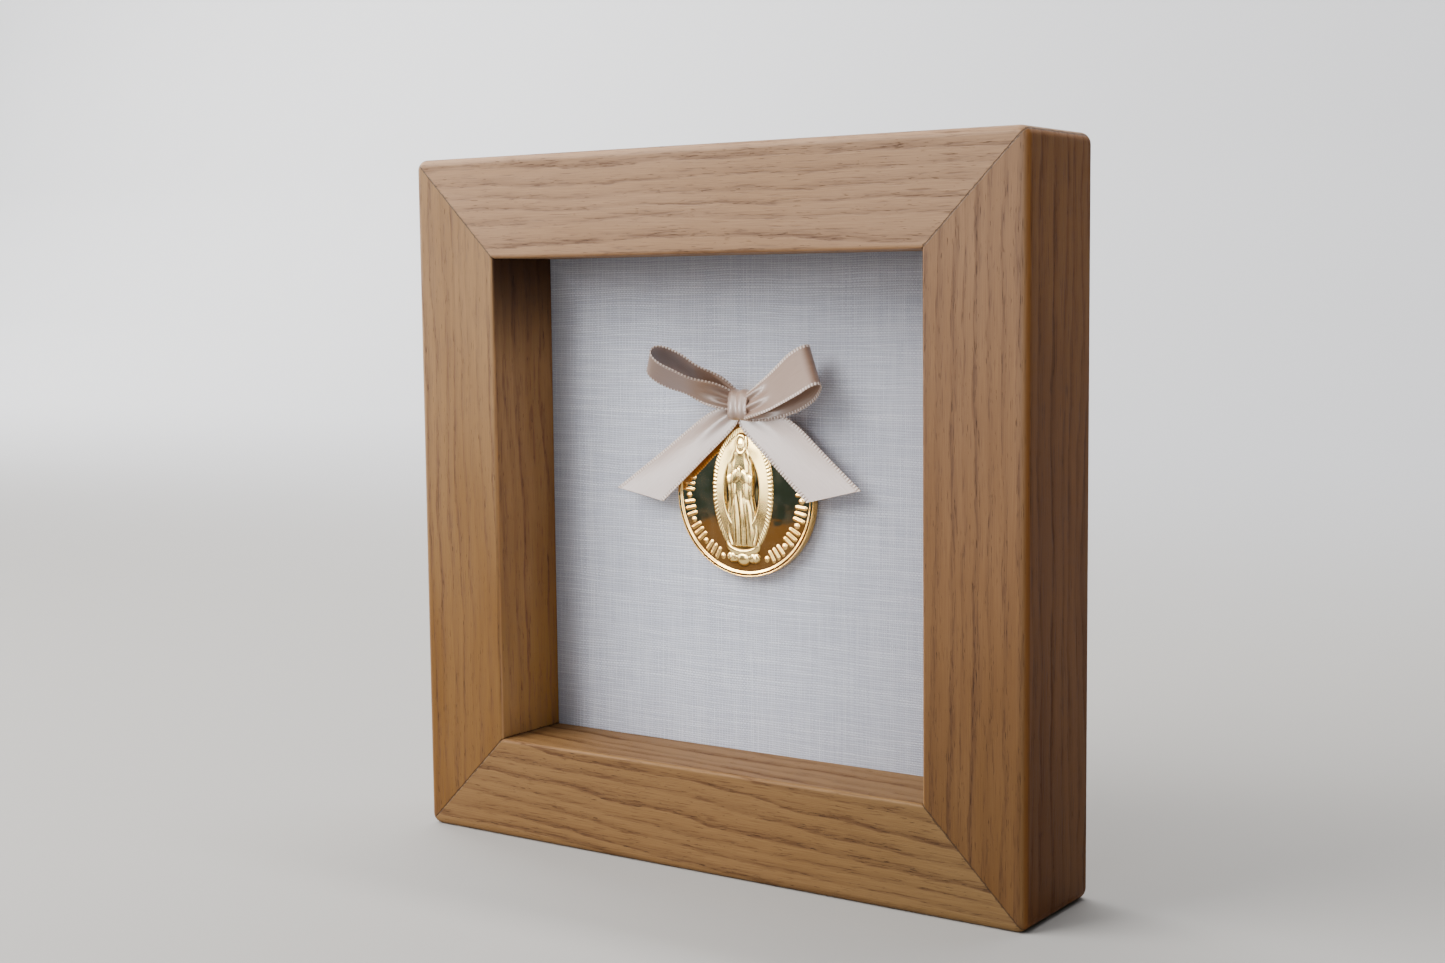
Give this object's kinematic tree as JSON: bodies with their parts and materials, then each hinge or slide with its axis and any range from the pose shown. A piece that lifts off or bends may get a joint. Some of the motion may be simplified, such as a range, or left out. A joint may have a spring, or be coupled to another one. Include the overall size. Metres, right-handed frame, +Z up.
{
  "type": "box frame with ribbon-hung medal",
  "caption": "Square oak box frame with a recessed linen panel, on which a gilt medal hangs from a satin ribbon bow. The back lifts out behind turn buttons.",
  "frame": {"origin": "centre of the bottom rail's underside, at half the frame's depth", "axes": "+Z up, the display side faces -Y, +X to the right when looking at the display side"},
  "size_m": [0.15, 0.0318, 0.15],
  "materials": {
    "oak": "waxed, open grained",
    "steel": "zinc plated",
    "linen": "plain woven, matte",
    "board": "foam-cored card",
    "hardboard": "raw fibreboard",
    "brass": "lacquered",
    "pads": "soft, translucent",
    "gilt": "mirror polished",
    "ribbon": "satin",
    "thread": "matte"
  },
  "bodies": {
    "frame": {"top_rail": "oak", "bottom_rail": "oak", "left_stile": "oak", "right_stile": "oak", "corner_wedges": "steel", "linen_cover": "linen", "mount_board": "board", "backing_board": "hardboard", "button_screws": "steel", "hanger_plate": "brass", "hanger_screw": "brass", "bumper_pads": "pads", "ribbon_strand": "ribbon", "ribbon_knot": "ribbon", "ribbon_left_loop": "ribbon", "ribbon_right_loop": "ribbon", "ribbon_left_tail": "ribbon", "ribbon_right_tail": "ribbon", "bow_stitch": "thread"},
    "medal": {"medal": "gilt"},
    "button_left_lower": {"turn_button_left_lower": "brass"},
    "button_left_upper": {"turn_button_left_upper": "brass"},
    "button_right_lower": {"turn_button_right_lower": "brass"},
    "button_right_upper": {"turn_button_right_upper": "brass"},
    "ring": {"hanger_ring": "brass"}
  },
  "joints": [
    {"name": "medal_swing", "type": "hinge", "parent": "frame", "child": "medal", "pos_m": [0.0006, 0.0046, 0.097], "axis": [0, 1, 0], "range_deg": [-20, 20]},
    {"name": "button_left_lower_turn", "type": "hinge", "parent": "frame", "child": "button_left_lower", "pos_m": [-0.0625, 0.0149, 0.045], "axis": [0, 1, 0], "range_deg": [-90, 90]},
    {"name": "button_left_upper_turn", "type": "hinge", "parent": "frame", "child": "button_left_upper", "pos_m": [-0.0625, 0.0149, 0.105], "axis": [0, 1, 0], "range_deg": [-90, 90]},
    {"name": "button_right_lower_turn", "type": "hinge", "parent": "frame", "child": "button_right_lower", "pos_m": [0.0625, 0.0149, 0.045], "axis": [0, 1, 0], "range_deg": [-90, 90]},
    {"name": "button_right_upper_turn", "type": "hinge", "parent": "frame", "child": "button_right_upper", "pos_m": [0.0625, 0.0149, 0.105], "axis": [0, 1, 0], "range_deg": [-90, 90]},
    {"name": "ring_swing", "type": "hinge", "parent": "frame", "child": "ring", "pos_m": [0, 0.01588, 0.146], "axis": [1, 0, 0], "range_deg": [0, 170]}
  ]
}
